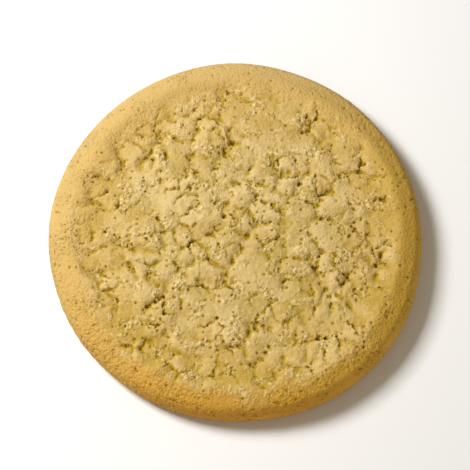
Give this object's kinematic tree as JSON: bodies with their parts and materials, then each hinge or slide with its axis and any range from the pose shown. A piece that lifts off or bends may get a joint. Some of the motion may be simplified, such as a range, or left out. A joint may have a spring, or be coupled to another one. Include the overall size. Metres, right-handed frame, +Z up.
{
  "type": "sugar cookie",
  "caption": "Round baked sugar cookie with a smooth raised golden rim, a paler crazed and pitted top, and a flat browned underside.",
  "frame": {"origin": "middle of the bounding box, on the surface that the cookie lies on", "axes": "+Z up out of the crazed top, -Y towards the viewer of the picture, +X to the viewer's right"},
  "size_m": [0.0758, 0.0762, 0.0087],
  "materials": {
    "baked_dough": "matte baked crumb, pale in the middle and golden at the rim"
  },
  "bodies": {
    "root": {"cookie": "baked_dough"}
  },
  "joints": []
}
